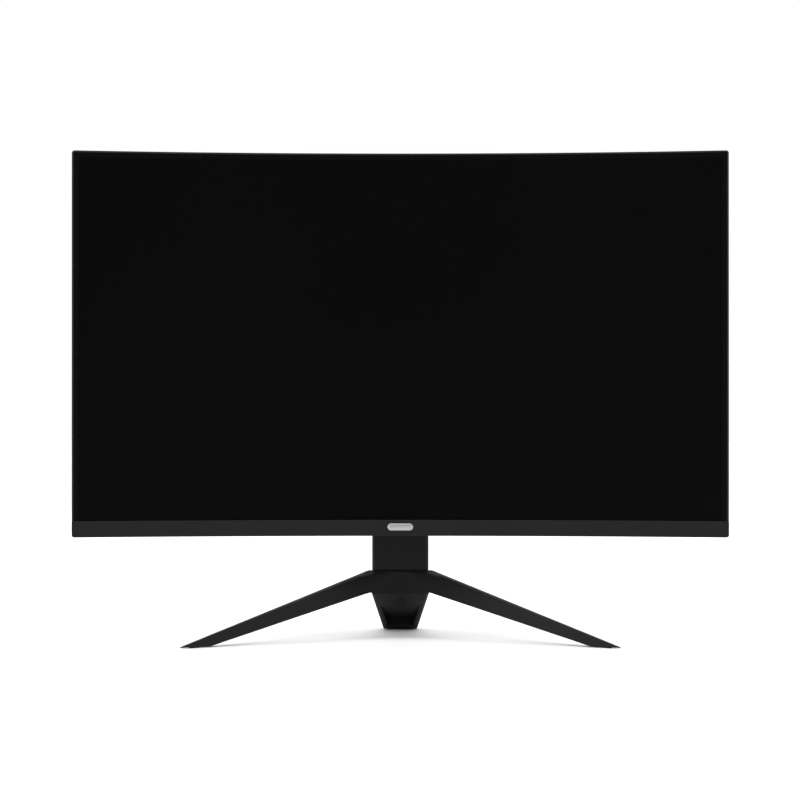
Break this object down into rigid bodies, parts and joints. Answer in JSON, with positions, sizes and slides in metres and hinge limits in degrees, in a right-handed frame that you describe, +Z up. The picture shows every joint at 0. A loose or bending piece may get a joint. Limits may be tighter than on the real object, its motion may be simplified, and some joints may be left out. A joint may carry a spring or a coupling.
{
  "type": "computer monitor",
  "caption": "Curved desktop monitor with a thin-edged screen, a plain chin strip and a tilting column on a three-legged stand.",
  "frame": {"origin": "on the desk, under the centre of the bounding box", "axes": "+Z up, +X to the viewer's right, the screen faces -Y"},
  "size_m": [0.607, 0.2241, 0.4552],
  "materials": {
    "screen_glass": "anti-glare black",
    "film": "translucent white film",
    "acrylic": "clear acrylic",
    "led_strip": "bare strip",
    "pan_steel": "zinc plated sheet",
    "frame_plastic": "fine satin",
    "chin_plastic": "fine grain",
    "badge_silver": "satin",
    "lens_clear": "clear",
    "cover_plastic": "spark-eroded texture",
    "screw_black": "black zinc",
    "screw_steel": "bright zinc",
    "plate_black": "powder coat",
    "board_green": "solder mask",
    "ribbon_film": "flat cable",
    "socket_metal": "nickel plated",
    "socket_plastic": "moulded",
    "control_plastic": "soft satin",
    "gimbal_plastic": "natural nylon",
    "bracket_black": "powder coat",
    "pin_steel": "ground",
    "washer_bronze": "bronze",
    "core_metal": "die cast, black satin paint",
    "column_plastic": "fine grain",
    "base_metal": "satin powder coat",
    "foot_rubber": "matte"
  },
  "bodies": {
    "root": {"column_core": "core_metal", "column_front_cover": "column_plastic", "column_rear_cover": "column_plastic", "cable_grommet": "control_plastic", "column_screws": "screw_black", "base_casting": "base_metal", "base_screw": "screw_black", "screw_plug": "foot_rubber", "foot_pads": "foot_rubber"},
    "head": {"lcd_panel": "screen_glass", "optical_sheets": "film", "light_guide": "acrylic", "reflector_sheet": "film", "led_bar": "led_strip", "backlight_pan": "pan_steel", "middle_frame": "frame_plastic", "chin_bezel": "chin_plastic", "badge": "badge_silver", "power_led_lens": "lens_clear", "rear_panel": "cover_plastic", "rear_housing": "cover_plastic", "cover_screws": "screw_black", "vesa_plate": "plate_black", "main_board": "board_green", "driver_board": "board_green", "timing_board": "board_green", "panel_ribbon": "ribbon_film", "shield_can": "socket_metal", "board_screws": "screw_steel", "port_plate": "socket_metal", "hdmi_ports": "socket_metal", "displayport": "socket_metal", "audio_jack": "socket_plastic", "dc_jack": "socket_plastic", "lock_insert": "socket_metal", "joystick_board": "board_green", "joystick_housing": "control_plastic", "head_bracket": "bracket_black", "bracket_screws": "screw_black", "tilt_pin": "pin_steel", "friction_washers": "washer_bronze", "disc_springs": "pin_steel", "tilt_nut": "pin_steel", "hinge_caps": "column_plastic"},
    "joystick_ring": {"gimbal_ring": "gimbal_plastic"},
    "joystick_lever": {"joystick_stem": "control_plastic"},
    "joystick_button": {"joystick_cap": "control_plastic"}
  },
  "joints": [
    {"name": "head_tilt", "type": "hinge", "parent": "root", "child": "head", "pos_m": [0, 0.042, 0.25], "axis": [-1, 0, 0], "range_deg": [-5, 20]},
    {"name": "joystick_pitch", "type": "hinge", "parent": "head", "child": "joystick_ring", "pos_m": [0.236, -0.023, 0.124], "axis": [1, 0, 0], "range_deg": [-6, 6], "stiffness_Nm_per_rad": 0.14},
    {"name": "joystick_yaw", "type": "hinge", "parent": "joystick_ring", "child": "joystick_lever", "pos_m": [0.236, -0.023, 0.124], "axis": [0, 0, 1], "range_deg": [-6, 6], "stiffness_Nm_per_rad": 0.14},
    {"name": "joystick_press", "type": "slide", "parent": "joystick_lever", "child": "joystick_button", "axis": [0, -1, 0], "range_m": [0, 0.0006], "stiffness_N_per_m": 2500}
  ]
}
